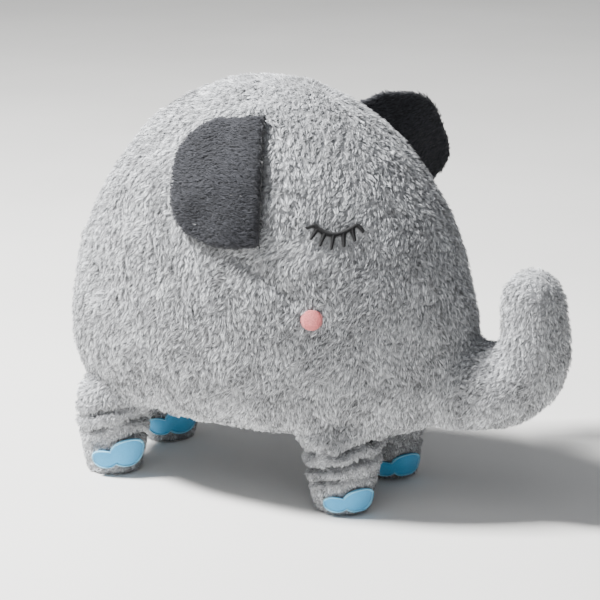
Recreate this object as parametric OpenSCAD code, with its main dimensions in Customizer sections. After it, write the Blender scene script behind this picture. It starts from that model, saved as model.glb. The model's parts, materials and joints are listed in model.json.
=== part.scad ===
// Stuffed plush elephant in millimetres. It faces -Y, its right side is at -X and it stands on Z = 0.
// Two side panels and a belly gusset hold one cushion of filling. The trunk, the four legs, the two
// flap ears and the tail are sewn on, and each flexes about its own root.

/* [Body] */
// Length of the body in front of its widest section
front_reach = 196; // [185:1:200]
// Length of the body behind its widest section
rear_reach = 190; // [180:1:196]
// Half of the greatest width of the body
half_width = 116; // [108:1:122]
// Height of the top of the back
top_z = 364; // [355:1:372]
// Height of the flat underside
belly_z = 64; // [62:1:66]
// Thickness of the plush, pile included
plush = 3; // [2:0.5:3.5]

/* [Legs] */
// Distance from the middle plane to the middle of a leg
leg_x = 50; // [46:1:54]
// Distance of the front legs in front of the origin of the body
front_leg_y = 110; // [104:1:116]
// Distance of the rear legs behind the origin of the body
rear_leg_y = 119; // [112:1:124]
// Radius of a leg where it enters the body
leg_r = 37; // [34:1:38]
// Radius of a foot just above its sole
foot_r = 27; // [25:1:28]
// Height of the point that a leg flexes about
leg_pivot_z = 60; // [58:1:62]

/* [Trunk] */
// Distance from the middle of the body's feet to the point that the trunk flexes about
trunk_pivot_y = 194; // [190:1:197]
// Height of the point that the trunk flexes about
trunk_pivot_z = 110; // [106:1:114]
// Radius of the trunk where it enters the body
trunk_r = 42; // [40:1:43]

/* [Ears] */
// Width of an ear from its sewn edge to its free edge
ear_width = 80; // [72:1:88]
// Thickness of each of the two layers of an ear
ear_layer = 2.6; // [2:0.2:3]
// Angle that the left ear stands forward from lying back on the body
ear_flare = 140; // [120:1:145]

/* [Face and feet] */
// Radius of the round cheek patch
cheek_r = 9.5; // [8:0.5:11]
// Thickness of the stitching and of the felt toes
trim = 1.2; // [1:0.1:1.6]
// Radius of the thick thread of the closed eyes
thread_r = 1; // [0.8:0.1:1.2]

/* [Hidden] */

// Colours of the fabrics, the filling and the threads
grey_plush = [0.66, 0.67, 0.70];
dark_plush = [0.27, 0.27, 0.30];
blue_felt = [0.35, 0.68, 0.86];
pink_thread = [0.92, 0.50, 0.50];
black_thread = [0.08, 0.08, 0.10];
white_filling = [0.94, 0.94, 0.92];

// Moves the middle of the overall box to the origin
centre_shift = [-23.76, 55.8, 0];

// Side profile: the widest section, the height of the belt where the body is longest and of the
// line where it is widest, and the powers that round each curve
widest_y = -18;
belt_z = 120;
wide_z = 170;
long_power = 2.05;
wide_power = 2.1;
front_power = 1.85;
rear_power = 2.3;
// Share of a full curve that the underside keeps before the flat belly cuts it off
belly_long = 0.80;
belly_wide = 0.84;
belly_long_power = 4;
belly_wide_power = 3;

// Rings of the body's mesh, the steps of a half turn round it, and the ring where the gusset ends
rings = 22;
steps = 18;
gusset_ring = 1;
ring_blend = 0.35;
seam_gap = 0.1;
filling_gap = 0.9;

// Gaps between the legs' and the trunk's rounded roots and their sockets, and the sides of a
// round surface. The trunk's is wider, so that it can bend up without meeting the rim
root_gap = 3.5;
trunk_gap = 11;
round_steps = 48;

function dome(t, power) = sqrt(max(0, 1 - pow(t, power)));
function reach(z, full, inset) = z > belt_z
    ? (full - inset) * dome((z - belt_z) / (top_z - inset - belt_z), long_power)
    : (full - inset) * dome(belly_long * (belt_z - z) / (belt_z - belly_z - inset), belly_long_power);
function width(z, inset) = z > wide_z
    ? (half_width - inset) * dome((z - wide_z) / (top_z - inset - wide_z), wide_power)
    : (half_width - inset) * dome(belly_wide * (wide_z - z) / (wide_z - belly_z - inset), belly_wide_power);
function signed_pow(v, power) = sign(v) * pow(abs(v), power);

// Height of a ring, with u from 0 at the belly to 1 at the top of the back
function ring_z(u, inset) = belly_z + inset
    + (top_z - belly_z - 2 * inset) * (ring_blend * u + (1 - ring_blend) * sin(90 * u));

// A point of a ring, with t from 0 at the front of the left side through 180 at its rear
function ring_point(z, t, inset) = let(
    power = cos(t) > 0 ? front_power : rear_power,
    full = cos(t) > 0 ? front_reach : rear_reach
) [
    width(z, inset) * signed_pow(sin(t), 2 / power),
    widest_y - reach(z, full, inset) * signed_pow(cos(t), 2 / power),
    z
];

// Distance from the middle plane to the body's surface at a place on its side
function side_x(y, z) = let(
    power = y < widest_y ? front_power : rear_power,
    full = y < widest_y ? front_reach : rear_reach
) width(z, 0) * pow(max(0, 1 - pow(abs(y - widest_y) / reach(z, full, 0), power)), 1 / power);
function side_point(y, z) = [side_x(y, z), y, z];
function unit(v) = v / norm(v);
function side_normal(y, z) = unit(cross(
    side_point(y + 0.5, z) - side_point(y - 0.5, z),
    side_point(y, z + 0.5) - side_point(y, z - 0.5)
));
// A point of the left side lifted off the surface
function lifted(y, z, lift) = side_point(y, z) + lift * side_normal(y, z);

// Triangles of a grid of points, wound one way or the other
function grid_faces(rows, cols, base, flip) = [
    for (i = [0:rows - 2], j = [0:cols - 2]) let(
        a = base + i * cols + j,
        b = a + 1,
        c = a + cols,
        d = c + 1
    ) each flip ? [[a, c, b], [b, c, d]] : [[a, b, c], [b, d, c]]
];
// Triangles of the strip that joins the same line of points of two layers
function strip_faces(line, other, flip) = [
    for (k = [0:len(line) - 2]) let(
        a = line[k],
        b = line[k + 1],
        c = other[k],
        d = other[k + 1]
    ) each flip ? [[a, b, c], [b, d, c]] : [[a, c, b], [b, c, d]]
];
function fan_faces(line, tip, flip) = [
    for (k = [0:len(line) - 2]) flip ? [line[k], tip, line[k + 1]] : [line[k], line[k + 1], tip]
];
function turned(faces) = [for (f = faces) [f[2], f[1], f[0]]];

// A sheet of cloth between two grids of points: closed at a tip, or open when tips is empty
module sheet(outer, inner, tips = []) {
    rows = len(outer);
    cols = len(outer[0]);
    layer = rows * cols;
    points = concat([for (row = outer) each row], [for (row = inner) each row], tips);
    first = [for (j = [0:cols - 1]) j];
    last = [for (j = [0:cols - 1]) (rows - 1) * cols + j];
    left = [for (i = [0:rows - 1]) i * cols];
    right = [for (i = [0:rows - 1]) i * cols + cols - 1];
    tip = len(tips) > 0 ? [2 * layer] : [];
    under_tip = len(tips) > 0 ? [2 * layer + 1] : [];
    left_line = concat(left, tip);
    right_line = concat(right, tip);
    faces = concat(
        grid_faces(rows, cols, 0, false),
        grid_faces(rows, cols, layer, true),
        strip_faces(first, [for (k = first) k + layer], false),
        strip_faces(left_line, concat([for (k = left) k + layer], under_tip), true),
        strip_faces(right_line, concat([for (k = right) k + layer], under_tip), false),
        len(tips) > 0 ? fan_faces(last, tip[0], false) : strip_faces(last, [for (k = last) k + layer], true),
        len(tips) > 0 ? fan_faces([for (k = last) k + layer], under_tip[0], true) : []
    );
    polyhedron(points, turned(faces), convexity = 6);
}

// A closed solid through whole rings of points, with a tip at each end
module ring_solid(loops, low_tip, high_tip) {
    rows = len(loops);
    cols = len(loops[0]);
    points = concat([for (row = loops) each row], [low_tip, high_tip]);
    sides = [
        for (i = [0:rows - 2], j = [0:cols - 1]) let(
            a = i * cols + j,
            b = i * cols + (j + 1) % cols,
            c = a + cols,
            d = b + cols
        ) each [[a, b, c], [b, d, c]]
    ];
    low = [for (j = [0:cols - 1]) [j, rows * cols, (j + 1) % cols]];
    high = [for (j = [0:cols - 1]) [(rows - 1) * cols + j, (rows - 1) * cols + (j + 1) % cols, rows * cols + 1]];
    polyhedron(points, turned(concat(sides, low, high)), convexity = 4);
}

// Spaces in the body that the trunk's and the legs' rounded roots flex in
module root_sockets() {
    translate([0, -trunk_pivot_y, trunk_pivot_z]) sphere(trunk_r + trunk_gap, $fn = round_steps);
    for (side = [-1, 1], y = [-front_leg_y, rear_leg_y])
        translate([side * leg_x, y, leg_pivot_z]) sphere(leg_r + root_gap, $fn = round_steps);
}

module body_filling() {
    inset = plush + filling_gap;
    loops = [
        for (i = [0:rings - 1]) [
            for (j = [0:2 * steps - 1]) ring_point(ring_z(i / rings, inset), j * 180 / steps, inset)
        ]
    ];
    color(white_filling) difference() {
        ring_solid(loops, [0, widest_y, belly_z + inset], [0, widest_y, top_z - inset]);
        root_sockets();
    }
}

// Rings of one half of the body from the gusset up, kept a little off the middle plane
function half_rings(inset) = [
    for (i = [gusset_ring:rings - 1]) [
        for (j = [0:steps]) let(p = ring_point(ring_z(i / rings, inset), j * 180 / steps, inset))
            [max(p[0], seam_gap), p[1], p[2]]
    ]
];

module body_panel() {
    difference() {
        sheet(
            half_rings(0), half_rings(plush),
            [[seam_gap, widest_y, top_z], [seam_gap, widest_y, top_z - plush]]
        );
        root_sockets();
    }
}
module body_panel_left() { color(grey_plush) body_panel(); }
module body_panel_right() { color(grey_plush) mirror([1, 0, 0]) body_panel(); }

// The underside: a shallow tray that ends just below the edge of the side panels
module belly_gusset() {
    tray_u = gusset_ring / rings - 0.0012;
    function tray(inset) = [
        for (u = [0, tray_u]) [for (j = [0:2 * steps - 1]) ring_point(ring_z(u, inset), j * 180 / steps, inset)]
    ];
    color(grey_plush) difference() {
        tray_solid(tray(0), tray(plush));
        root_sockets();
    }
}
// A tray with a flat floor, between its outer and inner rings
module tray_solid(outer, inner) {
    cols = len(outer[0]);
    points = concat(outer[0], outer[1], inner[0], inner[1], [
        [0, widest_y, outer[0][0][2]],
        [0, widest_y, inner[0][0][2]]
    ]);
    faces = [
        for (j = [0:cols - 1]) let(k = (j + 1) % cols) each [
            [j, k, cols + j], [k, cols + k, cols + j],
            [2 * cols + j, 3 * cols + j, 2 * cols + k], [2 * cols + k, 3 * cols + j, 3 * cols + k],
            [cols + j, cols + k, 3 * cols + j], [cols + k, 3 * cols + k, 3 * cols + j],
            [j, 4 * cols, k], [2 * cols + j, 2 * cols + k, 4 * cols + 1]
        ]
    ];
    polyhedron(points, turned(faces), convexity = 4);
}

// Trunk: distance in front of the body's origin, height and radius at each station. The bend is
// everywhere wider than the tube's radius, so that its rings don't cross on the inside
trunk_stations = [
    [trunk_pivot_y, trunk_pivot_z, trunk_r],
    [224, 111, 39],
    [246, 119, 36.5],
    [260, 133, 34.5],
    [266, 153, 32],
    [265, 174, 30],
    [262, 193, 28.5]
];
trunk_sides = 12;
trunk_cuts = 3;
tip_cuts = [30, 60];
root_cuts = [50, 25];

// Smooth value between the stations, with u counted in stations
function station(k) = trunk_stations[max(0, min(len(trunk_stations) - 1, k))];
function trunk_at(u) = let(
    k = min(floor(u), len(trunk_stations) - 2),
    t = u - k,
    a = station(k - 1),
    b = station(k),
    c = station(k + 1),
    d = station(k + 2)
) 0.5 * (2 * b + (c - a) * t + (2 * a - 5 * b + 4 * c - d) * t * t + (3 * b - a - 3 * c + d) * t * t * t);
function trunk_heading(u) = let(
    v = trunk_at(min(u + 0.05, len(trunk_stations) - 1)) - trunk_at(max(u - 0.05, 0))
) unit([v[0], v[1]]);

// A ring of the trunk: its middle, the way it faces and its radius, with t from 0 at the front of
// the left side through 180 at its rear
function trunk_point(middle, heading, r, t) = [
    r * sin(t),
    -(middle[0] + r * cos(t) * heading[1]),
    middle[1] - r * cos(t) * heading[0]
];
function trunk_last() = len(trunk_stations) - 1;
function trunk_ring(u, inset, turns) = [
    for (t = turns) trunk_point(trunk_at(u), trunk_heading(u), trunk_at(u)[2] - inset, t)
];
function tip_ring(angle, inset, turns) = let(
    m = trunk_at(trunk_last()),
    h = trunk_heading(trunk_last()),
    r = m[2] - inset
) [for (t = turns) trunk_point([m[0], m[1]] + r * sin(angle) * h, h, r * cos(angle), t)];
function tip_end(inset) = let(
    m = trunk_at(trunk_last()),
    h = trunk_heading(trunk_last()),
    r = m[2] - inset
) [0, -(m[0] + r * h[0]), m[1] + r * h[1]];
function root_ring(angle, inset, turns) = let(
    m = trunk_at(0),
    h = trunk_heading(0),
    r = m[2] - inset
) [for (t = turns) trunk_point([m[0], m[1]] - r * sin(angle) * h, h, r * cos(angle), t)];
function trunk_rings(inset, turns) = concat(
    [for (a = root_cuts) root_ring(a, inset, turns)],
    [for (k = [0:trunk_last() * trunk_cuts]) trunk_ring(k / trunk_cuts, inset, turns)],
    [for (a = tip_cuts) tip_ring(a, inset, turns)]
);
half_turns = [for (j = [0:trunk_sides]) j * 180 / trunk_sides];
full_turns = [for (j = [0:2 * trunk_sides - 1]) j * 180 / trunk_sides];

module trunk_filling() {
    inset = plush + filling_gap;
    pivot_end = [0, -trunk_pivot_y + (trunk_r - inset) * trunk_heading(0)[0],
        trunk_pivot_z - (trunk_r - inset) * trunk_heading(0)[1]];
    color(white_filling) ring_solid(trunk_rings(inset, full_turns), pivot_end, tip_end(inset));
}
function off_middle(grid) = [for (row = grid) [for (p = row) [max(p[0], seam_gap), p[1], p[2]]]];
module trunk_panel() {
    sheet(
        off_middle(trunk_rings(0, half_turns)), off_middle(trunk_rings(plush, half_turns)),
        [tip_end(0) + [seam_gap, 0, 0], tip_end(plush) + [seam_gap, 0, 0]]
    );
}
module trunk_panel_left() { color(grey_plush) trunk_panel(); }
module trunk_panel_right() { color(grey_plush) mirror([1, 0, 0]) trunk_panel(); }

// Ears: the ends of the sewn edge of the right ear as distance along the body and height
ear_top = [-41, 342];
ear_bottom = [-61, 236];
ear_bow = 3;
ear_rows = 14;
ear_cols = 9;
ear_corner = 0.03;
ear_shape_power = 3.4;
ear_off_body = 1.5;
ear_sag = 6;
left_ear_drop = 26;
left_ear_clear = 7;
hinge_lift = 3;

// A place on an ear, with u from 0 at the top to 1 at the bottom and v from the sewn to the free edge
function ear_reach(u) = ear_width * pow(max(0, 1 - pow(abs(2 * u - 1), ear_shape_power)), 1 / 2.2);
function ear_place(u, v) = let(w = v * ear_reach(u)) [
    ear_top[0] + (ear_bottom[0] - ear_top[0]) * u - ear_bow * sin(180 * u) + w,
    ear_top[1] + (ear_bottom[1] - ear_top[1]) * u - w * 0.06 - w / ear_width * ear_sag * (1 - u)
];
function ear_point(u, v, lift) = let(p = ear_place(u, v)) lifted(p[0], p[1], lift);
function ear_grid(lift) = [
    for (i = [0:ear_rows]) [
        for (j = [0:ear_cols]) ear_point(
            ear_corner + (1 - 2 * ear_corner) * (1 - cos(180 * i / ear_rows)) / 2,
            j / ear_cols, lift
        )
    ]
];
// The line that an ear swings about: through the middle of the sewn edge, along its chord
hinge_point = ear_point(0.5, 0, hinge_lift);
hinge_axis = unit(side_point(ear_top[0], ear_top[1]) - side_point(ear_bottom[0], ear_bottom[1]));

// One layer of an ear that lies back on the left side of the body. The grid runs down and back,
// so the layer's inner side comes first
module ear_sheet(lift) {
    sheet(ear_grid(lift), ear_grid(lift + ear_layer));
}
// The left ear is sewn on lower than the right one, moved down along the side of the body
ear_middle = ear_place(0.5, 0);
left_ear_shift = side_point(ear_middle[0], ear_middle[1] - left_ear_drop)
    - side_point(ear_middle[0], ear_middle[1]) + [left_ear_clear, 0, 0];
module flared() {
    translate(left_ear_shift + hinge_point) rotate(a = -ear_flare, v = hinge_axis)
        translate(-hinge_point) children();
}
ear_front_lift = ear_off_body + ear_layer + 0.1;
module ear_right_front() { color(dark_plush) mirror([1, 0, 0]) ear_sheet(ear_front_lift); }
module ear_right_back() { color(dark_plush) mirror([1, 0, 0]) ear_sheet(ear_off_body); }
module ear_left_front() { color(dark_plush) flared() ear_sheet(ear_front_lift); }
module ear_left_back() { color(dark_plush) flared() ear_sheet(ear_off_body); }

// A straight stitch between two places on the left side of the body
module stitch(a, b) {
    lift = thread_r + 0.5;
    p = lifted(a[0], a[1], lift);
    q = lifted(b[0], b[1], lift);
    d = q - p;
    translate(p) rotate([0, acos(d[2] / norm(d)), atan2(d[1], d[0])])
        cylinder(h = norm(d), r = thread_r, $fn = 16);
}
// Closed eye: a sagging line of stitches, with lashes that fan out below it
eye_y = -115;
eye_z = 251;
eye_half = 20;
eye_rise = 7;
stitch_pitch = 8;
stitch_gap = 0.9;
lash_places = [-14, -7.5, 0, 8, 15];
lash_lengths = [8, 9.5, 11, 10, 8];
function eye_line(s) = [eye_y - s, eye_z + eye_rise * pow(s / eye_half, 2)];
module eye() {
    for (s = [-eye_half:stitch_pitch:eye_half - stitch_pitch])
        stitch(eye_line(s), eye_line(s + stitch_pitch - stitch_gap));
    for (k = [0:len(lash_places) - 1]) {
        root = eye_line(lash_places[k]) - [0, 2.6];
        tip = root + [-0.25 * lash_places[k], -lash_lengths[k]];
        stitch(root, tip);
    }
}
module eye_left() { color(black_thread) eye(); }
module eye_right() { color(black_thread) mirror([1, 0, 0]) eye(); }

// Round satin-stitched cheek
cheek_y = -104;
cheek_z = 181;
module cheek() {
    n = side_normal(cheek_y, cheek_z);
    translate(lifted(cheek_y, cheek_z, 0.3)) rotate([0, acos(n[2]), atan2(n[1], n[0])])
        cylinder(h = trim, r = cheek_r, $fn = round_steps);
}
module cheek_left() { color(pink_thread) cheek(); }
module cheek_right() { color(pink_thread) mirror([1, 0, 0]) cheek(); }

// Short tail that hangs close behind the body, leaning a little to the left
tail_r = 7;
tail_length = 58;
tail_root = [0, 168.6, 205];
tail_lean = 14;
tail_back = 10.5;
module tail() {
    color(grey_plush) translate(tail_root) rotate([tail_back, -tail_lean, 0]) {
        translate([0, 0, -tail_length]) cylinder(h = tail_length, r = tail_r, $fn = round_steps);
        translate([0, 0, -tail_length]) sphere(tail_r, $fn = round_steps);
    }
}

// Legs: a cone that runs up into a ball about the point that it flexes about
sole_r = 23;
sole_thickness = 3;
foot_edge = 4;
cover_top_angle = 40;
arc_steps = 8;
leg_taper = asin((leg_r - foot_r) / (leg_pivot_z - foot_edge));
function ball_arc(r, from, to) = [
    for (k = [0:arc_steps]) let(a = from + (to - from) * k / arc_steps) [r * cos(a), leg_pivot_z + r * sin(a)]
];
module leg_filling() {
    r = leg_r - plush - filling_gap;
    floor_z = sole_thickness + filling_gap;
    rotate_extrude($fn = round_steps) polygon(concat(
        [[0, floor_z], [sole_r, floor_z], [foot_r - plush - filling_gap, floor_z + foot_edge]],
        [for (p = ball_arc(r, -leg_taper, 90)) [max(0, p[0]), p[1]]]
    ));
}
module leg_cover() {
    rotate_extrude($fn = round_steps) polygon(concat(
        [[sole_r + 0.2, 1], [foot_r - 1, 1], [foot_r, foot_edge]],
        ball_arc(leg_r, -leg_taper, cover_top_angle),
        [for (k = [arc_steps:-1:0]) ball_arc(leg_r - plush, -leg_taper, cover_top_angle)[k]],
        [[foot_r - plush, sole_thickness + foot_edge], [sole_r + 0.2, sole_thickness]]
    ));
}
module sole() { cylinder(h = sole_thickness, r = sole_r, $fn = round_steps); }

// Felt toes: a small and a large lobe, wrapped round the front right of each foot. The four legs are
// alike, not mirrored, and the rear toes are larger and sit higher
toe_angles = [-74, -32];
front_toe_radii = [9, 13.5];
front_toe_heights = [12.5, 15];
rear_toe_radii = [9.5, 14];
rear_toe_heights = [18, 22];
toe_floor = 5;
function leg_side_r(z) = foot_r + (leg_r * cos(leg_taper) - foot_r)
    * (z - foot_edge) / (leg_pivot_z - leg_r * sin(leg_taper) - foot_edge);
module leg_skirt(gap, low, high) {
    translate([0, 0, low]) cylinder(
        h = high - low, r1 = leg_side_r(low) + gap, r2 = leg_side_r(high) + gap, $fn = round_steps
    );
}
module toes(radii, heights) {
    intersection() {
        difference() {
            leg_skirt(trim + 0.1, toe_floor, 40);
            leg_skirt(0.1, toe_floor - 1, 41);
        }
        union() {
            for (k = [0:1]) rotate([0, 0, toe_angles[k]]) translate([0, 0, heights[k]])
                rotate([90, 0, 0]) cylinder(h = 50, r = radii[k], $fn = round_steps);
        }
    }
}
module front_toes() { toes(front_toe_radii, front_toe_heights); }
module rear_toes() { toes(rear_toe_radii, rear_toe_heights); }

// Puts a leg's piece in its place
module at_leg(side, y) { translate([side * leg_x, y, 0]) children(); }
module leg_filling_front_right() { color(white_filling) at_leg(-1, -front_leg_y) leg_filling(); }
module leg_filling_front_left() { color(white_filling) at_leg(1, -front_leg_y) leg_filling(); }
module leg_filling_rear_right() { color(white_filling) at_leg(-1, rear_leg_y) leg_filling(); }
module leg_filling_rear_left() { color(white_filling) at_leg(1, rear_leg_y) leg_filling(); }
module leg_cover_front_right() { color(grey_plush) at_leg(-1, -front_leg_y) leg_cover(); }
module leg_cover_front_left() { color(grey_plush) at_leg(1, -front_leg_y) leg_cover(); }
module leg_cover_rear_right() { color(grey_plush) at_leg(-1, rear_leg_y) leg_cover(); }
module leg_cover_rear_left() { color(grey_plush) at_leg(1, rear_leg_y) leg_cover(); }
module sole_front_right() { color(grey_plush) at_leg(-1, -front_leg_y) sole(); }
module sole_front_left() { color(grey_plush) at_leg(1, -front_leg_y) sole(); }
module sole_rear_right() { color(grey_plush) at_leg(-1, rear_leg_y) sole(); }
module sole_rear_left() { color(grey_plush) at_leg(1, rear_leg_y) sole(); }
module toes_front_right() { color(blue_felt) at_leg(-1, -front_leg_y) front_toes(); }
module toes_front_left() { color(blue_felt) at_leg(1, -front_leg_y) front_toes(); }
module toes_rear_right() { color(blue_felt) at_leg(-1, rear_leg_y) rear_toes(); }
module toes_rear_left() { color(blue_felt) at_leg(1, rear_leg_y) rear_toes(); }

module centred() { translate(centre_shift) children(); }
centred() body_filling();
centred() body_panel_right();
centred() body_panel_left();
centred() belly_gusset();
centred() trunk_filling();
centred() trunk_panel_right();
centred() trunk_panel_left();
centred() ear_right_front();
centred() ear_right_back();
centred() ear_left_front();
centred() ear_left_back();
centred() eye_right();
centred() eye_left();
centred() cheek_right();
centred() cheek_left();
centred() tail();
centred() leg_filling_front_right();
centred() leg_filling_front_left();
centred() leg_filling_rear_right();
centred() leg_filling_rear_left();
centred() leg_cover_front_right();
centred() leg_cover_front_left();
centred() leg_cover_rear_right();
centred() leg_cover_rear_left();
centred() sole_front_right();
centred() sole_front_left();
centred() sole_rear_right();
centred() sole_rear_left();
centred() toes_front_right();
centred() toes_front_left();
centred() toes_rear_right();
centred() toes_rear_left();
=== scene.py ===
import json
import math

import bmesh
import bpy
import numpy as np
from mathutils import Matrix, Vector, noise
from mathutils.bvhtree import BVHTree
from mathutils.kdtree import KDTree


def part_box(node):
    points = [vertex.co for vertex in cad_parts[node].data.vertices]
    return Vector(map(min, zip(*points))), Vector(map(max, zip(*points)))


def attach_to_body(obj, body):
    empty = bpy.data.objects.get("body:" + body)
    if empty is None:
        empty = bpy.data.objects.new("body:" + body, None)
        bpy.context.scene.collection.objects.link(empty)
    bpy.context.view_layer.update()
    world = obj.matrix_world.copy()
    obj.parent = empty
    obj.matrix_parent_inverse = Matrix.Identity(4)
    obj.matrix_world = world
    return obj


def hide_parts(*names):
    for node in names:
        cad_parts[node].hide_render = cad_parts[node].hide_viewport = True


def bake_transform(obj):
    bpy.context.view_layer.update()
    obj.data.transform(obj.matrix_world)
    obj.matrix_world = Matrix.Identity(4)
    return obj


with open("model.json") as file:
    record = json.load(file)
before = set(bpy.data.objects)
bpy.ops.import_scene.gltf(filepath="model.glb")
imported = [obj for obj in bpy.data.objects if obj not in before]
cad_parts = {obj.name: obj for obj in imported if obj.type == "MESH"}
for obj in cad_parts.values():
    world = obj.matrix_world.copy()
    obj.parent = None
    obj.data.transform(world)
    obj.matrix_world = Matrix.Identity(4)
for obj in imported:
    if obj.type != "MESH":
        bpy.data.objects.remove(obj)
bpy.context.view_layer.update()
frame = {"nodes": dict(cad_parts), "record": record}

MM = 0.001
RNG = np.random.default_rng(7)
SIDES = ("right", "left")
LEGS = tuple(f"{end}_{side}" for end in ("front", "rear") for side in SIDES)
UP = np.array([0.0, 0.0, 1.0])


# ---- Places, worked out from the frame -------------------------------------------------------

def joint_place(name):
    """The point that a joint turns about."""
    joints = frame["record"]["behaviour"]["joints"]
    return np.array(next(j["pos_m"] for j in joints if j["name"] == name))


def node_box(name):
    """The lowest and the highest corner of a CAD node."""
    low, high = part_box(name)
    return np.array(low), np.array(high)


RIGHT_LOW = node_box("body_panel_right")[0]
LEFT_HIGH = node_box("body_panel_left")[1]
MIDDLE_X = (RIGHT_LOW[0] + LEFT_HIGH[0]) / 2
BODY_FRONT = RIGHT_LOW[1]
BELLY = node_box("belly_gusset")[0][2]
TRUNK_ROOT = joint_place("trunk_flex")
LEG_ROOT = {leg: joint_place(f"leg_{leg}_flex") for leg in LEGS}


# ---- Mesh helpers ----------------------------------------------------------------------------

def new_mesh(name, verts, faces):
    mesh = bpy.data.meshes.new(name)
    mesh.from_pydata([tuple(v) for v in verts], [], [tuple(f) for f in faces])
    mesh.update()
    return mesh


def new_object(name, mesh):
    obj = bpy.data.objects.new(name, mesh)
    bpy.context.scene.collection.objects.link(obj)
    return obj


def coordinates(mesh):
    out = np.empty(len(mesh.vertices) * 3)
    mesh.vertices.foreach_get("co", out)
    return out.reshape(-1, 3)


def normals(mesh):
    out = np.empty(len(mesh.vertices) * 3)
    mesh.vertex_normals.foreach_get("vector", out)
    return out.reshape(-1, 3)


def set_coordinates(mesh, co):
    mesh.vertices.foreach_set("co", np.asarray(co, float).ravel())
    mesh.update()


def unit(v):
    return v / np.maximum(np.linalg.norm(v, axis=-1, keepdims=True), 1e-12)


def joined(nodes, hull_nodes=()):
    """One mesh of several CAD nodes, with the convex hull of others, which fills their sockets."""
    bm = bmesh.new()
    for name in nodes:
        bm.from_mesh(frame["nodes"][name].data)
    if hull_nodes:
        shell = bmesh.new()
        for name in hull_nodes:
            shell.from_mesh(frame["nodes"][name].data)
        made = bmesh.ops.convex_hull(shell, input=shell.verts)
        unused = made["geom_interior"] + made["geom_unused"]
        spare = {e for e in unused if isinstance(e, bmesh.types.BMVert)}
        bmesh.ops.delete(shell, geom=list(spare), context="VERTS")
        bmesh.ops.delete(shell, geom=[v for v in shell.verts if not v.link_faces], context="VERTS")
        temporary = bpy.data.meshes.new("hull")
        shell.to_mesh(temporary)
        shell.free()
        bm.from_mesh(temporary)
        bpy.data.meshes.remove(temporary)
    mesh = bpy.data.meshes.new("joined")
    bm.to_mesh(mesh)
    bm.free()
    return mesh


def modified(mesh, kind, **values):
    """The mesh that one modifier makes of another."""
    obj = new_object("modified", mesh)
    modifier = obj.modifiers.new("modifier", kind)
    for key, value in values.items():
        setattr(modifier, key, value)
    made = bpy.data.meshes.new_from_object(obj.evaluated_get(bpy.context.evaluated_depsgraph_get()))
    bpy.data.objects.remove(obj)
    return made


def remeshed(mesh, voxel):
    return modified(mesh, "REMESH", mode="VOXEL", voxel_size=voxel)


def subdivided(mesh):
    return modified(mesh, "SUBSURF", levels=1)


SMOOTHING_STEPS = (0.5, -0.52)


def smooth(mesh, rounds, weight=1.0, keep_size=True):
    """Evens the surface. weight may be a number per vertex, and keep_size undoes the shrinking."""
    co = coordinates(mesh)
    edges = np.empty(len(mesh.edges) * 2, np.int64)
    mesh.edges.foreach_get("vertices", edges)
    start, end = edges.reshape(-1, 2).T
    count = np.bincount(np.concatenate([start, end]), minlength=len(co))[:, None]
    weight = np.broadcast_to(np.asarray(weight, float).reshape(-1, 1), (len(co), 1))
    for _ in range(rounds):
        for share in SMOOTHING_STEPS if keep_size else SMOOTHING_STEPS[:1]:
            total = np.zeros_like(co)
            for axis in range(3):
                total[:, axis] = np.bincount(start, co[end, axis], len(co))
                total[:, axis] += np.bincount(end, co[start, axis], len(co))
            co = co + share * weight * (total / np.maximum(count, 1) - co)
    set_coordinates(mesh, co)


def waves(co, size, seed):
    """Smooth noise from -1 to 1 at each point, with lumps of that size."""
    shift = Vector((seed * 11.3, seed * 5.1, seed * 7.7))
    return np.array([noise.noise(Vector(p) / size + shift) for p in co])


def smoothstep(v, low, high):
    """0 below low and 1 above high, with an even change between."""
    t = np.clip((v - low) / (high - low), 0, 1)
    return t * t * (3 - 2 * t)


def shade_smooth(mesh):
    mesh.polygons.foreach_set("use_smooth", [True] * len(mesh.polygons))


def tree_of(mesh):
    points = [tuple(c) for c in coordinates(mesh)]
    return BVHTree.FromPolygons(points, [tuple(p.vertices) for p in mesh.polygons])


def kd_tree(points):
    tree = KDTree(len(points))
    for i, p in enumerate(points):
        tree.insert(p, i)
    tree.balance()
    return tree


# ---- Materials -------------------------------------------------------------------------------

class Nodes:
    """A material's node tree with its principled shader."""

    def __init__(self, name, base, roughness, sheen=0.0, sheen_roughness=0.5):
        self.material = bpy.data.materials.new(name)
        self.material.use_nodes = True
        self.tree = self.material.node_tree
        self.shader = self.tree.nodes["Principled BSDF"]
        self.shader.inputs["Base Color"].default_value = (*base, 1)
        self.shader.inputs["Roughness"].default_value = roughness
        self.shader.inputs["Specular IOR Level"].default_value = 0.25
        self.shader.inputs["Sheen Weight"].default_value = sheen
        self.shader.inputs["Sheen Roughness"].default_value = sheen_roughness

    def add(self, kind, **values):
        made = self.tree.nodes.new(kind)
        for key, value in values.items():
            if key in made.inputs:
                made.inputs[key].default_value = value
            else:
                setattr(made, key, value)
        return made

    def link(self, out, into):
        self.tree.links.new(out, into)

    def noise(self, scale, detail=3.0):
        place = self.add("ShaderNodeTexCoord")
        made = self.add("ShaderNodeTexNoise", Scale=scale, Detail=detail)
        self.link(place.outputs["Object"], made.inputs["Vector"])
        return made

    def colour_by(self, source, stops):
        ramp = self.add("ShaderNodeValToRGB")
        while len(ramp.color_ramp.elements) < len(stops):
            ramp.color_ramp.elements.new(0.5)
        for element, (place, colour) in zip(ramp.color_ramp.elements, stops):
            element.position = place
            element.color = (*colour, 1)
        self.link(source, ramp.inputs["Fac"])
        self.link(ramp.outputs["Color"], self.shader.inputs["Base Color"])

    def bump_by(self, source, strength, distance):
        bump = self.add("ShaderNodeBump", Strength=strength, Distance=distance)
        self.link(source, bump.inputs["Height"])
        self.link(bump.outputs["Normal"], self.shader.inputs["Normal"])


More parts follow.
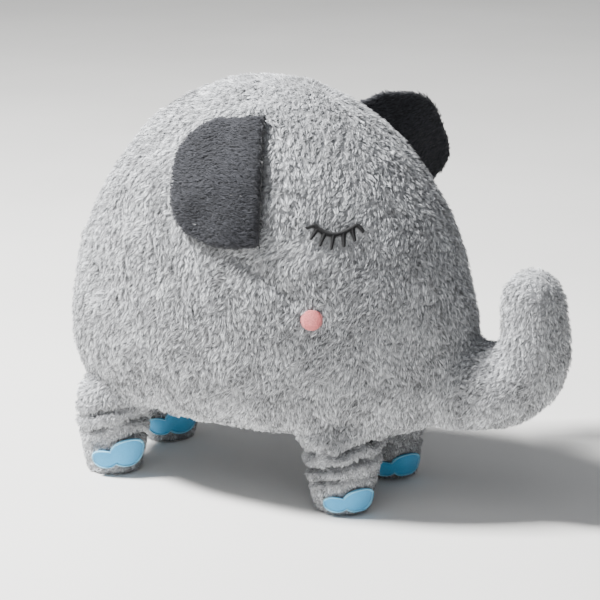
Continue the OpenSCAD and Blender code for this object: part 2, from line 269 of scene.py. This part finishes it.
def scaled(colour, factor):
    return tuple(min(1.0, c * factor) for c in colour)


def pile_ground(name, colour, grain):
    """The woven ground under a pile: painted darker for the shade under the fibres, and mottled with
    deeper painted shade where the pile parts.
    """
    made = Nodes(name, colour, 0.95, sheen=0.3)
    spots = made.noise(grain)
    # Painted shade: noise spots take the ground down to 0.62 of its darkened colour.
    made.colour_by(spots.outputs["Fac"], [(0.35, scaled(colour, 0.62)), (0.65, colour)])
    made.bump_by(made.noise(grain * 2.2).outputs["Fac"], 0.5, 1.2 * MM)
    return made.material


def pile_tones(name, colour, factors, sheen):
    """Fibres of one cloth in several tones, from the shaded roots to the lit tips."""
    return [
        Nodes(f"{name}_{i}", scaled(colour, factor), 0.82, sheen=sheen, sheen_roughness=0.45).material
        for i, factor in enumerate(factors)
    ]


def felt(name, colour):
    made = Nodes(name, colour, 0.95, sheen=0.35)
    fibres = made.noise(1400, 5)
    made.colour_by(fibres.outputs["Fac"], [(0.3, scaled(colour, 0.80)), (0.7, scaled(colour, 1.18))])
    made.bump_by(fibres.outputs["Fac"], 0.45, 0.4 * MM)
    return made.material


def thread(name, colour):
    """Embroidery thread, a little lighter and darker along its length."""
    made = Nodes(name, colour, 0.68, sheen=0.1)
    stops = [(0.35, scaled(colour, 0.85)), (0.65, scaled(colour, 1.12))]
    made.colour_by(made.noise(900, 2).outputs["Fac"], stops)
    return made.material


GREY = (0.515, 0.525, 0.545)
CHARCOAL = (0.034, 0.035, 0.041)
BLUE = (0.085, 0.400, 0.700)
PALE_BLUE = (0.230, 0.620, 0.860)
PINK = (0.860, 0.270, 0.270)
BLACK = (0.004, 0.004, 0.005)
# Both grounds are the cloth colour darkened by a fixed factor: painted shade under the pile.
GREY_SHADED_GROUND = pile_ground("grey_ground", scaled(GREY, 0.72), 260)
DARK_SHADED_GROUND = pile_ground("dark_ground", scaled(CHARCOAL, 0.75), 320)
# Lit and shaded copies of each cloth colour: painted light and shade on the pile.
GREY_TONES = pile_tones("grey_pile", GREY, (0.24, 0.54, 1.0, 1.45, 1.90), 0.35)
DARK_TONES = pile_tones("dark_pile", CHARCOAL, (0.65, 0.95, 1.3, 1.75, 2.3), 0.35)
BLUE_FELT = felt("blue_felt", BLUE)
BLUE_THREAD = thread("pale_blue_thread", PALE_BLUE)
PINK_THREAD = thread("pink_thread", PINK)
BLACK_THREAD = thread("black_thread", BLACK)


# ---- The cloth skin: body, trunk and legs in one ---------------------------------------------

SKIN_VOXEL = 4 * MM
PILE_DEPTH = 2.2 * MM
SEAM_DEPTH = 3.2 * MM
SEAM_WIDTH = 2.6 * MM
STUFFING_LUMP = 1.8 * MM
DART = ((-38, 231), (-63, 217), (-87, 198))
DART_DEPTH = 3.0 * MM
DART_WIDTH = 6.5 * MM
TRUNK_REACH = 194 * MM
FEET_MIDDLE_Y = TRUNK_ROOT[1] + TRUNK_REACH
GATHER_PITCH = 14.5 * MM
GATHER_SLANT = np.array([0.05, 0.22])
GATHER_DEPTH = {"front": 10.5 * MM, "rear": 5.5 * MM}
GATHER_LOW = (20 * MM, 32 * MM)
GATHER_HIGH = (62 * MM, 80 * MM)
LEG_EDGE = (44 * MM, 52 * MM)
TRUNK_FILLET_R = 47 * MM
TRUNK_FILLET_WIDTH = 15 * MM
LEG_FILLET_WIDTH = 13 * MM
LEG_FILLET_EDGE = (50 * MM, 66 * MM)


def leg_radius(co, leg):
    return np.linalg.norm(co[:, :2] - LEG_ROOT[leg][:2], axis=1)


def line_distance(points, line):
    """Distance of each point from a line of several straight pieces."""
    best = np.full(len(points), np.inf)
    for a, b in zip(line[:-1], line[1:]):
        along = np.clip(((points - a) @ (b - a)) / ((b - a) @ (b - a)), 0, 1)[:, None]
        best = np.minimum(best, np.linalg.norm(points - (a + along * (b - a)), axis=1))
    return best


def seam_share(co):
    """1 on the seam over the back, the head and the middle of the trunk, and 0 away from it."""
    outside = smoothstep(co[:, 2], BELLY + 18 * MM, BELLY + 40 * MM)
    on_trunk = co[:, 1] < BODY_FRONT - 4 * MM
    off_middle = np.abs(co[:, 0] - MIDDLE_X)
    return np.exp(-(off_middle / SEAM_WIDTH) ** 2) * np.where(on_trunk, 1.0, outside)


def shape_skin(mesh):
    """Presses the seam, each side's dart and the gathers into the cloth, over uneven stuffing."""
    co, out = coordinates(mesh), normals(mesh)
    depth = np.full(len(co), PILE_DEPTH)
    depth += SEAM_DEPTH * seam_share(co)
    depth -= STUFFING_LUMP * waves(co, 52 * MM, 1) + 0.5 * STUFFING_LUMP * waves(co, 21 * MM, 2)
    in_side_view = np.stack([co[:, 1] - FEET_MIDDLE_Y, co[:, 2]], axis=1)
    dart = [np.array(p) * MM for p in DART]
    on_side = smoothstep(np.abs(co[:, 0] - MIDDLE_X), 40 * MM, 60 * MM)
    depth += DART_DEPTH * on_side * np.exp(-(line_distance(in_side_view, dart) / DART_WIDTH) ** 2)
    for leg in LEGS:
        near = 1 - smoothstep(leg_radius(co, leg), *LEG_EDGE)
        band = smoothstep(co[:, 2], *GATHER_LOW) * (1 - smoothstep(co[:, 2], *GATHER_HIGH))
        around = (co[:, :2] - LEG_ROOT[leg][:2]) @ GATHER_SLANT
        sway = 7 * MM * waves(co, 34 * MM, 3) + 2.5 * MM * waves(co, 13 * MM, 4)
        fold = 0.5 + 0.5 * np.cos(2 * math.pi * (co[:, 2] + around + sway) / GATHER_PITCH)
        uneven = 0.25 + 0.95 * smoothstep(waves(co, 30 * MM, 9), -0.35, 0.30)
        depth += GATHER_DEPTH[leg.split("_")[0]] * near * band * uneven * fold ** 3
    lying = smoothstep(co[:, 2], 0.5 * MM, 6 * MM)
    set_coordinates(mesh, co - out * (depth * lying)[:, None])


def make_skin():
    """The whole skin as one mesh, with the trunk and the legs blended softly into the body."""
    body = ["body_panel_right", "body_panel_left", "belly_gusset"]
    limbs = ["trunk_filling", "trunk_panel_right", "trunk_panel_left"]
    limbs += [f"{part}_{leg}" for leg in LEGS for part in ("leg_filling", "leg_cover", "sole")]
    mesh = remeshed(joined(limbs, body), SKIN_VOXEL)
    smooth(mesh, 8)
    co = coordinates(mesh)
    from_root = np.linalg.norm(co - TRUNK_ROOT, axis=1)
    fillet = np.exp(-((from_root - TRUNK_FILLET_R) / TRUNK_FILLET_WIDTH) ** 2)
    for leg in LEGS:
        near = 1 - smoothstep(leg_radius(co, leg), *LEG_FILLET_EDGE)
        fillet = np.maximum(fillet, near * np.exp(-((co[:, 2] - BELLY) / LEG_FILLET_WIDTH) ** 2))
    smooth(mesh, 26, fillet, keep_size=False)
    mesh = subdivided(mesh)
    shape_skin(mesh)
    smooth(mesh, 1)
    return mesh


# ---- Which region each part of the skin belongs to -------------------------------------------

TRUNK_BORDER = BODY_FRONT + 1 * MM
LEG_BORDER = BELLY - 5 * MM


def regions(points):
    """The body that each point belongs to: the trunk, a leg, or the right or left of the body."""
    names = np.where(points[:, 0] < MIDDLE_X, "body_right", "body_left").astype(object)
    names[points[:, 1] < TRUNK_BORDER] = "trunk"
    low = points[:, 2] < LEG_BORDER
    nearest = np.argmin([leg_radius(points, leg) for leg in LEGS], axis=0)
    for i, leg in enumerate(LEGS):
        names[low & (nearest == i) & (points[:, 1] > TRUNK_BORDER)] = f"leg_{leg}"
    return names


def attach(obj, region):
    """Makes a piece of the right or left of the body follow the body; a trunk or leg piece keeps its
    place, with its transform baked in.
    """
    if region.startswith("body"):
        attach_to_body(obj, "body")
    elif region == "trunk":
        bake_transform(obj)
    else:
        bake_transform(obj)


REPLACED = {
    "body_right": ("body_panel_right", "body_filling"),
    "body_left": ("body_panel_left", "belly_gusset"),
    "trunk": ("trunk_filling", "trunk_panel_right", "trunk_panel_left"),
    **{f"leg_{leg}": (f"leg_filling_{leg}", f"leg_cover_{leg}", f"sole_{leg}") for leg in LEGS},
}


def split_skin(mesh):
    """Cuts the skin into one piece per region. Pieces meet at the same points."""
    co = coordinates(mesh)
    faces = [tuple(p.vertices) for p in mesh.polygons]
    centres = np.array([co[list(f)].mean(0) for f in faces])
    names = regions(centres)
    for region in REPLACED:
        kept = [faces[i] for i in np.flatnonzero(names == region)]
        used = sorted({v for f in kept for v in f})
        where = {v: i for i, v in enumerate(used)}
        piece = new_mesh(f"skin_{region}", co[used], [[where[v] for v in f] for f in kept])
        shade_smooth(piece)
        piece.materials.append(GREY_SHADED_GROUND)
        obj = new_object(f"skin_{region}", piece)
        attach(obj, region)
        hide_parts(*REPLACED[region])


# ---- Pile: blades of fibre that gather into combed clumps ------------------------------------

def scattered(mesh, count):
    """Points spread evenly over a mesh, with the normal at each."""
    mesh.calc_loop_triangles()
    tris = np.empty(len(mesh.loop_triangles) * 3, np.int64)
    mesh.loop_triangles.foreach_get("vertices", tris)
    tris = tris.reshape(-1, 3)
    co, out = coordinates(mesh), normals(mesh)
    a, b, c = (co[tris[:, i]] for i in range(3))
    area = np.linalg.norm(np.cross(b - a, c - a), axis=1)
    pick = RNG.choice(len(tris), count, p=area / area.sum())
    u, v = RNG.random(count), RNG.random(count)
    turned = u + v > 1
    u, v = np.where(turned, 1 - u, u)[:, None], np.where(turned, 1 - v, v)[:, None]
    parts = (1 - u - v, u, v)
    place = sum(w * co[tris[pick, i]] for i, w in enumerate(parts))
    return place, unit(sum(w * out[tris[pick, i]] for i, w in enumerate(parts)))


def nearest(points, centres):
    """The number of the centre nearest to each point."""
    tree = kd_tree(centres)
    return np.array([tree.find(p)[1] for p in points])


def combed(out, lean, swirl):
    """The way that the pile lies at each point: along lean, turned in the cloth by the angle swirl."""
    along = unit(lean - out * np.sum(lean * out, axis=1, keepdims=True) + 1e-6)
    across = np.cross(out, along)
    return along * np.cos(swirl)[:, None] + across * np.sin(swirl)[:, None]


FLOOR_GAP = 0.4 * MM
SHADE_WITH_CLOTH = 0.50


class Pile:
    """Blades on a surface: their size in metres, blades to a clump, and how they gather and turn."""

    def __init__(self, length, lift, width, clump, gather, swirl):
        self.length, self.lift, self.width = length, lift, width
        self.clump, self.gather, self.swirl = clump, gather, swirl

    def blades(self, mesh, count, lean, keep):
        """Points of each blade, its tone from 0 to 4, and the normal at its root."""
        root, out = scattered(mesh, count)
        share = keep(root)
        kept = share > 0.05
        root, out, share = root[kept], out[kept], share[kept]
        centre, centre_out = scattered(mesh, max(8, count // self.clump))
        own = nearest(root, centre)
        swirl = self.swirl * (waves(centre, 34 * MM, 5) * 1.6 + waves(centre, 9 * MM, 6) * 1.3)
        swirl += RNG.normal(0, 0.28, len(centre))
        lie = combed(centre_out, np.broadcast_to(lean, centre.shape), swirl)[own]
        length = self.length * share * RNG.uniform(0.72, 1.18, len(root))
        length *= RNG.uniform(0.8, 1.15, len(centre))[own]
        lift = self.lift * share * RNG.uniform(0.55, 1.25, len(root))
        lift *= RNG.uniform(0.6, 1.35, len(centre))[own]
        pull = np.clip(centre[own] - root, -4 * MM, 4 * MM) * self.gather
        pull -= out * np.sum(pull * out, axis=1, keepdims=True)
        tip = root + lie * length[:, None] + pull + out * lift[:, None]
        middle = root + 0.45 * (tip - root) + out * (0.30 * lift)[:, None]
        twist = RNG.normal(0, 0.55, len(root))[:, None]
        side = unit(np.cross(out, tip - root))
        side = unit(side * np.cos(twist) + out * np.sin(twist))
        width = (self.width * RNG.uniform(0.7, 1.3, len(root)))[:, None]
        root = root - out * 0.8 * MM
        verts = np.stack(
            [root - side * width / 2, root + side * width / 2, middle - side * width * 0.42,
             middle + side * width * 0.42, tip], axis=1,
        )
        verts[:, :, 2] = np.maximum(verts[:, :, 2], FLOOR_GAP)
        # Painted light and shade: the tone picks a lit or shaded copy of the cloth, in patches, per
        # clump and per blade, spread at random.
        tone = 0.9 * waves(centre, 24 * MM, 12) + RNG.normal(0, 0.40, len(centre))
        tone = np.clip(tone[own] + RNG.normal(0, 0.75, len(root)), -2, 2)
        return verts, np.clip(np.round(tone + 2), 0, 4).astype(int), out


def pile_mesh(name, verts, tone, out, tones):
    """A mesh of blades. Their shading leans towards the cloth's own, as a soft pile's does."""
    count = len(verts)
    base = np.arange(count)[:, None] * 5
    quads = base + np.array([1, 0, 2, 3])
    tips = base + np.array([3, 2, 4])
    mesh = bpy.data.meshes.new(name)
    mesh.vertices.add(count * 5)
    mesh.vertices.foreach_set("co", verts.ravel())
    mesh.loops.add(count * 7)
    mesh.loops.foreach_set("vertex_index", np.concatenate([quads, tips], axis=1).ravel())
    mesh.polygons.add(count * 2)
    mesh.polygons.foreach_set("loop_start", (np.arange(count)[:, None] * 7 + np.array([0, 4])).ravel())
    # Painted shade at the roots: each blade's lower face takes the copy one step darker than its tip.
    shades = np.stack([np.maximum(tone - 1, 0), tone], axis=1)
    mesh.polygons.foreach_set("material_index", shades.ravel())
    mesh.update(calc_edges=True)
    shade_smooth(mesh)
    own = normals(mesh).reshape(count, 5, 3)
    shading = unit(own * (1 - SHADE_WITH_CLOTH) + out[:, None, :] * SHADE_WITH_CLOTH)
    mesh.normals_split_custom_set_from_vertices(shading.reshape(-1, 3))
    for material in tones:
        mesh.materials.append(material)
    return mesh


BODY_PILE = Pile(5.6 * MM, 2.7 * MM, 0.50 * MM, 11, 0.56, 0.46)
EAR_PILE = Pile(4.6 * MM, 1.0 * MM, 0.42 * MM, 9, 0.25, 0.22)
BODY_BLADES = 340000
EAR_BLADES = 46000
BODY_LEAN = np.array([0.0, 0.30, -1.0])
PILE_SPLIT = 190 * MM


def make_body_pile(skin, keep):
    """The pile of the whole skin: one piece per region, and two for each side of the body."""
    verts, tone, out = BODY_PILE.blades(skin, BODY_BLADES, BODY_LEAN, keep)
    names = regions(verts[:, 0])
    above = verts[:, 0, 2] > PILE_SPLIT
    for region in REPLACED:
        here = names == region
        halves = {"_upper": here & above, "_lower": here & ~above}
        parts = halves if region.startswith("body") else {"": here}
        for part, chosen in parts.items():
            name = f"pile_{region}{part}"
            obj = new_object(name, pile_mesh(name, verts[chosen], tone[chosen], out[chosen], GREY_TONES))
            attach(obj, region)


# ---- Ears and tail ---------------------------------------------------------------------------

EAR_VOXEL = 2.2 * MM
EAR_WAVE = 1.7 * MM
EAR_WAVE_SIZE = 30 * MM
EAR_LEAN = np.array([0.0, 1.0, -0.15])
TAIL_VOXEL = 2.4 * MM
TAIL_PILE = Pile(6 * MM, 2.0 * MM, 1.0 * MM, 9, 0.5, 0.6)
TAIL_BLADES = 1500


def full_pile(points):
    return np.ones(len(points))


def make_ear(side):
    """A soft, slightly wavy double flap in charcoal pile."""
    nodes = [f"ear_{side}_front", f"ear_{side}_back"]
    mesh = remeshed(joined(nodes), EAR_VOXEL)
    smooth(mesh, 6)
    mesh = subdivided(mesh)
    co, out = coordinates(mesh), normals(mesh)
    set_coordinates(mesh, co + out * (EAR_WAVE * waves(co, EAR_WAVE_SIZE, 8))[:, None])
    shade_smooth(mesh)
    mesh.materials.append(DARK_SHADED_GROUND)
    obj = new_object(f"ear_flap_{side}", mesh)
    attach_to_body(obj, f"ear_{side}")
    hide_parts(*nodes)
    verts, tone, out = EAR_PILE.blades(mesh, EAR_BLADES, EAR_LEAN, full_pile)
    pile = new_object(f"ear_pile_{side}", pile_mesh(f"ear_pile_{side}", verts, tone, out, DARK_TONES))
    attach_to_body(pile, f"ear_{side}")
    return mesh


def make_tail():
    mesh = remeshed(joined(["tail"]), TAIL_VOXEL)
    smooth(mesh, 3)
    mesh = subdivided(mesh)
    shade_smooth(mesh)
    mesh.materials.append(GREY_SHADED_GROUND)
    obj = new_object("tail_skin", mesh)
    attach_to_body(obj, "tail")
    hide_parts("tail")
    verts, tone, out = TAIL_PILE.blades(mesh, TAIL_BLADES, -UP, full_pile)
    pile = new_object("tail_pile", pile_mesh("tail_pile", verts, tone, out, GREY_TONES))
    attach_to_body(pile, "tail")


# ---- Embroidery ------------------------------------------------------------------------------

class Threads:
    """Gathers threads into one mesh."""

    def __init__(self, sides=6):
        self.verts, self.faces, self.sides = [], [], sides

    def lay(self, points, out, radius):
        """One thread through points, thinner at both ends, on a surface that faces out."""
        points = np.array(points, float)
        along = unit(np.gradient(points, axis=0))
        side = unit(np.cross(along, out))
        rise = np.cross(side, along)
        taper = np.sin(np.linspace(0.35, math.pi - 0.35, len(points)))
        base = len(self.verts)
        for p, s, r, t in zip(points, side, rise, taper):
            for k in range(self.sides):
                a = 2 * math.pi * k / self.sides
                self.verts.append(p + radius * t * (math.cos(a) * s + math.sin(a) * r))
        for i in range(len(points) - 1):
            for k in range(self.sides):
                n = (k + 1) % self.sides
                low, high = base + i * self.sides, base + (i + 1) * self.sides
                self.faces.append((low + k, low + n, high + n, high + k))
        last = base + (len(points) - 1) * self.sides
        self.faces.append(tuple(range(base + self.sides - 1, base - 1, -1)))
        self.faces.append(tuple(range(last, last + self.sides)))

    def piece(self, name, material):
        mesh = new_mesh(name, self.verts, self.faces)
        shade_smooth(mesh)
        mesh.materials.append(material)
        return new_object(name, mesh)


THREAD = 0.50 * MM
EYE_HALF = 21 * MM
EYE_CORNER = 15.5 * MM
EYE_RISE = 7.5 * MM
EYE_Y = -115 * MM + FEET_MIDDLE_Y
EYE_Z = 251 * MM
LID_HALF = 2.5 * MM
LID_STITCHES = 76
LASHES = ((-13, 8), (-7, 9.5), (0, 10.5), (7, 10), (12.5, 9))
LASH_STITCHES = 19
STITCH_LEAN = 0.35
STITCH_LIFTS = np.array([2.6, 3.9, 4.4, 3.9, 2.6]) * MM
CHEEK_Y = -104 * MM + FEET_MIDDLE_Y
CHEEK_Z = 181 * MM
CHEEK_R = 8.7 * MM
CHEEK_PITCH = 0.62 * MM
CHEEK_THREAD = 0.46 * MM


class Side:
    """Places and normals on one side of the skin, found from its place along and up the body."""

    def __init__(self, tree, side):
        self.tree, self.sign = tree, -1 if side == "right" else 1

    def at(self, y, z, lift=0.0):
        start = Vector((MIDDLE_X + self.sign * 0.4, y, z))
        hit, out, _, _ = self.tree.ray_cast(start, Vector((-self.sign, 0, 0)))
        out = np.array(out) * (1 if out[0] * self.sign > 0 else -1)
        return np.array(hit) + out * lift, out


def eye_height(s):
    """The closed lid: it sags, and both ends turn down again past its corners."""
    corner = max(0.0, abs(s) - EYE_CORNER)
    droop = 1.0 if s > 0 else 0.35
    return EYE_Z + EYE_RISE * (min(abs(s), EYE_CORNER) / EYE_CORNER) ** 2 - droop * corner


def satin_bar(threads, place, line, half_widths):
    """Slanted stitches side by side along a line of (y, z) places."""
    line = np.array(line)
    ways = unit(np.gradient(line, axis=0))
    for (y, z), (wy, wz), half in zip(line, ways, half_widths):
        cross = np.array([-wz, wy]) + STITCH_LEAN * np.array([wy, wz])
        ends = [np.array([y, z]) + cross * half * k for k in (-1, -0.5, 0, 0.5, 1)]
        points = [place.at(*e, lift)[0] for e, lift in zip(ends, STITCH_LIFTS)]
        threads.lay(points, place.at(y, z)[1], THREAD)


def make_eye(place, side):
    """A closed eye in black satin stitch: the lid and five lashes."""
    threads = Threads()
    steps = np.linspace(-EYE_HALF, EYE_HALF, LID_STITCHES)
    thickness = LID_HALF * np.sin(np.linspace(0.45, math.pi - 0.45, len(steps))) ** 0.6
    satin_bar(threads, place, [(EYE_Y - s, eye_height(s)) for s in steps], thickness)
    for along, length in LASHES:
        root = np.array([EYE_Y - along * MM, eye_height(along * MM) - 1.0 * MM])
        tip = root + np.array([-0.28 * along, -1.0 * length]) * MM
        line = [root + (tip - root) * t for t in np.linspace(0, 1, LASH_STITCHES)]
        satin_bar(threads, place, line, np.linspace(2.1, 1.1, LASH_STITCHES) * MM)
    eye = threads.piece(f"eye_stitching_{side}", BLACK_THREAD)
    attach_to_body(eye, "body")
    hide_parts(f"eye_{side}")


def make_cheek(place, side):
    """A crowned round patch of pink threads side by side."""
    threads = Threads()
    for up in np.arange(-CHEEK_R, CHEEK_R, CHEEK_PITCH):
        half = math.sqrt(max(0.0, CHEEK_R ** 2 - up ** 2))
        if half < 1.5 * MM:
            continue
        points = []
        for t in np.linspace(-1, 1, 7):
            along, across = t * half / CHEEK_R, up / CHEEK_R
            crown = 1.6 + 1.9 * math.sqrt(max(0.0, 1 - along ** 2 - 0.6 * across ** 2))
            points.append(place.at(CHEEK_Y + t * half, CHEEK_Z + up, crown * MM)[0])
        threads.lay(points, place.at(CHEEK_Y, CHEEK_Z + up)[1], CHEEK_THREAD)
    cheek = threads.piece(f"cheek_stitching_{side}", PINK_THREAD)
    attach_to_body(cheek, "body")
    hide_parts(f"cheek_{side}")


# ---- Felt toes -------------------------------------------------------------------------------

FOOT_R = 27 * MM
FOOT_LOW = 4 * MM
FOOT_SLOPE = 0.18
TOE_LOBES = {
    "front": ((-75, 12.0, 10.0, 6.8), (-34, 15.0, 13.6, 10.5)),
    "rear": ((-76, 17.0, 10.5, 8.2), (-35, 22.5, 14.5, 13.0)),
}
TOE_FLOOR = 5 * MM
TOE_OUT = 0.7 * MM
FELT = 1.3 * MM
TOE_ROWS = 11
RIM_OUT = 0.9 * MM
RIM_PITCH = 0.8 * MM
RIM_THREAD = 0.42 * MM
RIM_MIDDLE_Z = 16 * MM


def toe_span(end, angle):
    """Lowest and highest edge of the felt at an angle round the foot, or None outside it."""
    tops, lows = [], []
    for middle, height, wide, tall in TOE_LOBES[end]:
        across = FOOT_R * math.radians(angle - middle) / (wide * MM)
        if abs(across) < 1:
            half = tall * MM * (1 - abs(across) ** 2.2) ** 0.5
            tops.append(height * MM + half)
            lows.append(height * MM - half)
    return (max(TOE_FLOOR, min(lows)), max(tops)) if tops else None


def foot_point(leg, angle, z, lift):
    """A place at an angle round a foot, lifted off the foot's cone."""
    a = math.radians(angle)
    r = FOOT_R + FOOT_SLOPE * max(0.0, z - FOOT_LOW) + lift
    x, y, _ = LEG_ROOT[leg]
    return np.array([x + r * math.sin(a), y - r * math.cos(a), z])


def patch_faces(wide, rows):
    """Faces of a closed patch: an outer grid, an inner grid after it, and the edge between them."""
    size = wide * rows
    faces = []
    for i in range(wide - 1):
        for j in range(rows - 1):
            a, b, c, d = i * rows + j, i * rows + j + 1, (i + 1) * rows + j + 1, (i + 1) * rows + j
            faces += [(a, d, c, b), (size + a, size + b, size + c, size + d)]
    edge = list(range(rows)) + [i * rows + rows - 1 for i in range(1, wide)]
    edge += [(wide - 1) * rows + j for j in range(rows - 2, -1, -1)]
    edge += [i * rows for i in range(wide - 2, 0, -1)]
    for k, here in enumerate(edge):
        following = edge[(k + 1) % len(edge)]
        faces.append((here, following, size + following, size + here))
    return faces


def make_toe_rim(leg, outline, middle):
    """Short pale stitches over the edge of the felt, all pointing to its middle."""
    threads = Threads(5)
    x, y, _ = LEG_ROOT[leg]
    points = [foot_point(leg, angle, z, TOE_OUT + RIM_OUT) for angle, z in outline]
    points.append(points[0])
    for start, end in zip(points[:-1], points[1:]):
        steps = max(1, int(np.linalg.norm(end - start) / RIM_PITCH))
        for k in range(steps):
            p = start + (end - start) * k / steps
            out = unit(p - np.array([x, y, p[2]]))
            inward = unit(middle - p - out * ((middle - p) @ out))
            line = [p - inward * 0.9 * MM, p + out * 0.8 * MM, p + inward * 1.5 * MM]
            threads.lay(line, out, RIM_THREAD)
    rim = threads.piece(f"toe_rim_{leg}", BLUE_THREAD)
    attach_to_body(rim, f"leg_{leg}")


def make_toes(leg):
    """A crowned felt patch of two lobes on the front right of a foot, with a stitched rim."""
    end = leg.split("_")[0]
    angles = [angle for angle in np.linspace(-100, 0, 121) if toe_span(end, angle)]
    outer, inner = [], []
    for i, angle in enumerate(angles):
        low, high = toe_span(end, angle)
        fade = min(1.0, 4 * min(i, len(angles) - 1 - i) / len(angles))
        for j in range(TOE_ROWS):
            t = j / (TOE_ROWS - 1)
            crown = 1.0 * MM * math.sin(math.pi * t) ** 0.6 * fade ** 0.5
            outer.append(foot_point(leg, angle, low + (high - low) * t, TOE_OUT + FELT * 0.4 + crown))
            inner.append(foot_point(leg, angle, low + (high - low) * t, TOE_OUT - 2 * FELT))
    mesh = new_mesh(f"toe_felt_{leg}", outer + inner, patch_faces(len(angles), TOE_ROWS))
    shade_smooth(mesh)
    mesh.materials.append(BLUE_FELT)
    toes = new_object(f"toe_felt_{leg}", mesh)
    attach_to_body(toes, f"leg_{leg}")
    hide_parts(f"toes_{leg}")
    outline = [(angle, toe_span(end, angle)[1]) for angle in angles]
    outline += [(angle, toe_span(end, angle)[0]) for angle in reversed(angles)]
    make_toe_rim(leg, outline, foot_point(leg, (angles[0] + angles[-1]) / 2, RIM_MIDDLE_Z, TOE_OUT))
    return coordinates(mesh)[:len(outer)]


# ---- Where the pile is cut short --------------------------------------------------------------

STITCH_BARE = 1.9 * MM
STITCH_CLEAR = 4.5 * MM
TOE_BARE = 3.4 * MM
TOE_TOP = 50 * MM
EAR_NEAR = 7 * MM
EAR_LOW = 200 * MM
EAR_SHARE = 0.75
TRUNK_SHARE = 0.80
FLOOR_BARE = 2.2 * MM
SIDE_X = 40 * MM


def pile_share(ear_tree, toe_points):
    """A function that gives each root its share of the full pile.

    There is less of it under the right ear, on the seam, the trunk and the legs, and near stitching.
    """
    toes = kd_tree(toe_points)
    eye = np.array([(EYE_Y - s, eye_height(s)) for s in np.linspace(-EYE_HALF, EYE_HALF, 14)])
    lashes = []
    for s, length in LASHES:
        top = eye_height(s * MM)
        lashes.append(np.array([[EYE_Y - s * MM, top], [EYE_Y - 1.28 * s * MM, top - length * MM]]))

    def share(points):
        out = np.ones(len(points))
        view = points[:, 1:]
        off_middle = np.abs(points[:, 0] - MIDDLE_X)
        on_side = off_middle > SIDE_X
        stitched = np.minimum.reduce([line_distance(view, line) for line in [eye, *lashes]])
        shorter = 0.35 + 0.65 * smoothstep(stitched, STITCH_BARE, STITCH_CLEAR)
        out = np.where(on_side, out * shorter, out)
        out = np.where(on_side & (stitched < STITCH_BARE), 0, out)
        cheek = np.hypot(view[:, 0] - CHEEK_Y, view[:, 1] - CHEEK_Z)
        out = np.where(on_side & (cheek < CHEEK_R - 0.5 * MM), 0, out)
        on_seam = (seam_share(points) > 0.02) & (points[:, 2] > BELLY)
        out = np.where(on_seam, out * smoothstep(off_middle, 0.2 * MM, 3.0 * MM) * 0.75 + 0.05, out)
        out = np.where(points[:, 1] < TRUNK_BORDER, out * TRUNK_SHARE, out)
        out = out * (0.55 + 0.45 * smoothstep(points[:, 2], BELLY - 6 * MM, BELLY + 20 * MM))
        for i, p in enumerate(points):
            if p[2] < TOE_TOP and toes.find(p)[2] < TOE_BARE:
                out[i] = 0
            elif out[i] and p[2] > EAR_LOW and ear_tree.find_nearest(p, EAR_NEAR)[0] is not None:
                out[i] *= EAR_SHARE
        return np.where(points[:, 2] < FLOOR_BARE, 0, out)

    return share


# ---- Floor, lights and camera -----------------------------------------------------------------

CAMERA_AZIMUTH = math.radians(-62.6)
CAMERA_ELEVATION = math.radians(20.1)
CAMERA_DISTANCE = 2.2
CAMERA_LENS = 145
FEET_MIDDLE = np.array([MIDDLE_X, FEET_MIDDLE_Y, 0])
AIM = FEET_MIDDLE + np.array([65.7, -12.2, 144.1]) * MM
FLOOR_HALF = 6.0


def direction(azimuth, elevation):
    """The way from the object to a camera or light at that azimuth and elevation."""
    flat = math.cos(elevation)
    return np.array([math.sin(azimuth) * flat, -math.cos(azimuth) * flat, math.sin(elevation)])


def look(obj, place, target):
    obj.location = Vector(place)
    obj.rotation_euler = (Vector(target) - Vector(place)).to_track_quat("-Z", "Y").to_euler()
    bpy.context.scene.collection.objects.link(obj)


def make_camera():
    data = bpy.data.cameras.new("camera")
    data.lens = CAMERA_LENS
    data.sensor_width = 36
    camera = bpy.data.objects.new("camera", data)
    look(camera, FEET_MIDDLE + CAMERA_DISTANCE * direction(CAMERA_AZIMUTH, CAMERA_ELEVATION), AIM)
    bpy.context.scene.camera = camera


def make_light(name, azimuth, elevation, distance, size, power, colour=(1, 1, 1)):
    data = bpy.data.lights.new(name, "AREA")
    data.size, data.energy, data.color = size, power, colour
    light = bpy.data.objects.new(name, data)
    look(light, AIM + distance * direction(math.radians(azimuth), math.radians(elevation)), AIM)


def make_studio():
    half = FLOOR_HALF
    corners = [(-half, -half, 0), (half, -half, 0), (half, half, 0), (-half, half, 0)]
    floor = new_object("floor", new_mesh("floor", corners, [(0, 1, 2, 3)]))
    made = Nodes("floor", (0.78, 0.77, 0.75), 0.7)
    made.colour_by(made.noise(3).outputs["Fac"], [(0.3, (0.75, 0.74, 0.72)), (0.7, (0.80, 0.79, 0.77))])
    floor.data.materials.append(made.material)
    make_light("key", -150, 56, 2.2, 0.40, 245, (0.99, 0.99, 0.98))
    make_light("fill", -72, 56, 2.6, 1.8, 10, (0.95, 0.97, 1.0))
    make_light("far_side", 75, 35, 2.6, 2.0, 6)
    world = bpy.data.worlds.new("world")
    world.use_nodes = True
    world.node_tree.nodes["Background"].inputs["Color"].default_value = (0.86, 0.90, 0.96, 1)
    world.node_tree.nodes["Background"].inputs["Strength"].default_value = 0.24
    bpy.context.scene.world = world


make_camera()
make_studio()
skin = make_skin()
skin_tree = tree_of(skin)
ears = {side: make_ear(side) for side in SIDES}
make_tail()
for side in SIDES:
    place = Side(skin_tree, side)
    make_eye(place, side)
    make_cheek(place, side)
toe_points = np.concatenate([make_toes(leg) for leg in LEGS])
split_skin(skin)
make_body_pile(skin, pile_share(tree_of(ears["right"]), toe_points))
